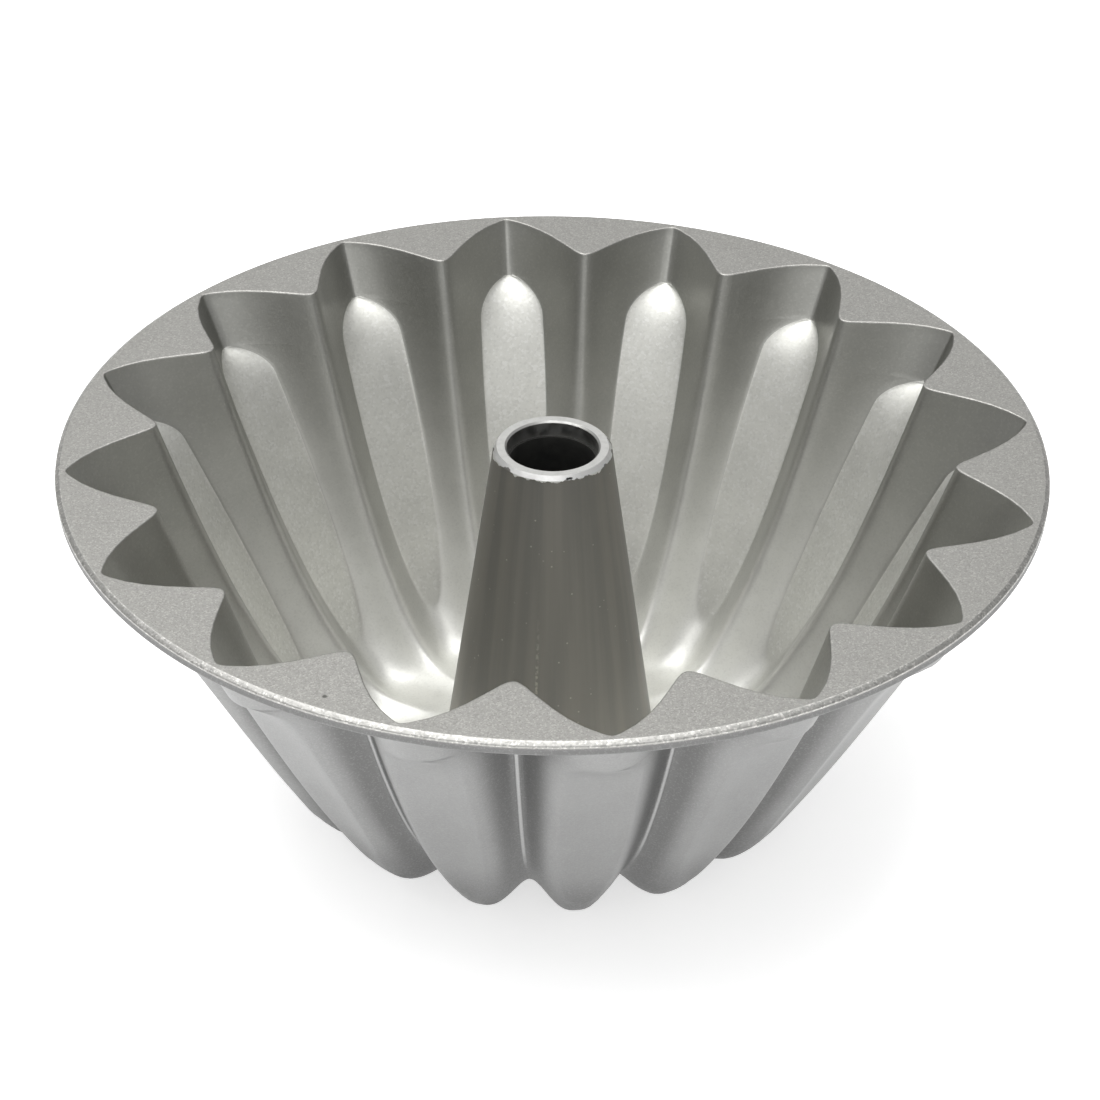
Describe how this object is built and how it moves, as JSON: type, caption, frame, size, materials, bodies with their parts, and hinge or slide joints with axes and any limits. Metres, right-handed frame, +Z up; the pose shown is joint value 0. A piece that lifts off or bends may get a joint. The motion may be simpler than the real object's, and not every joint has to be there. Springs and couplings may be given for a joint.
{
  "type": "bundt pan",
  "caption": "Fluted ring cake pan with a star-shaped mouth in a flat round rim, leaf-shaped flutes, a rounded floor and a conical hollow centre tube.",
  "frame": {"origin": "on the pan's axis, in the plane of the undersides of the flutes, on which the pan rests", "axes": "+Z up along the axis of the centre tube, out of the mouth; +Y is 6.5 degrees from the point of the nearest flute; the pan repeats every 22.5 degrees about Z"},
  "size_m": [0.2666, 0.2666, 0.11],
  "materials": {
    "coated_casting": "satin warm grey release coating with fine metallic fleck",
    "dark_coating": "smooth dark release coating with faint upright drag lines",
    "turned_metal": "bare turned metal, fine matt rings"
  },
  "bodies": {
    "root": {"fluted_shell": "coated_casting", "centre_tube": "dark_coating", "tube_top_ring": "turned_metal"}
  },
  "joints": []
}
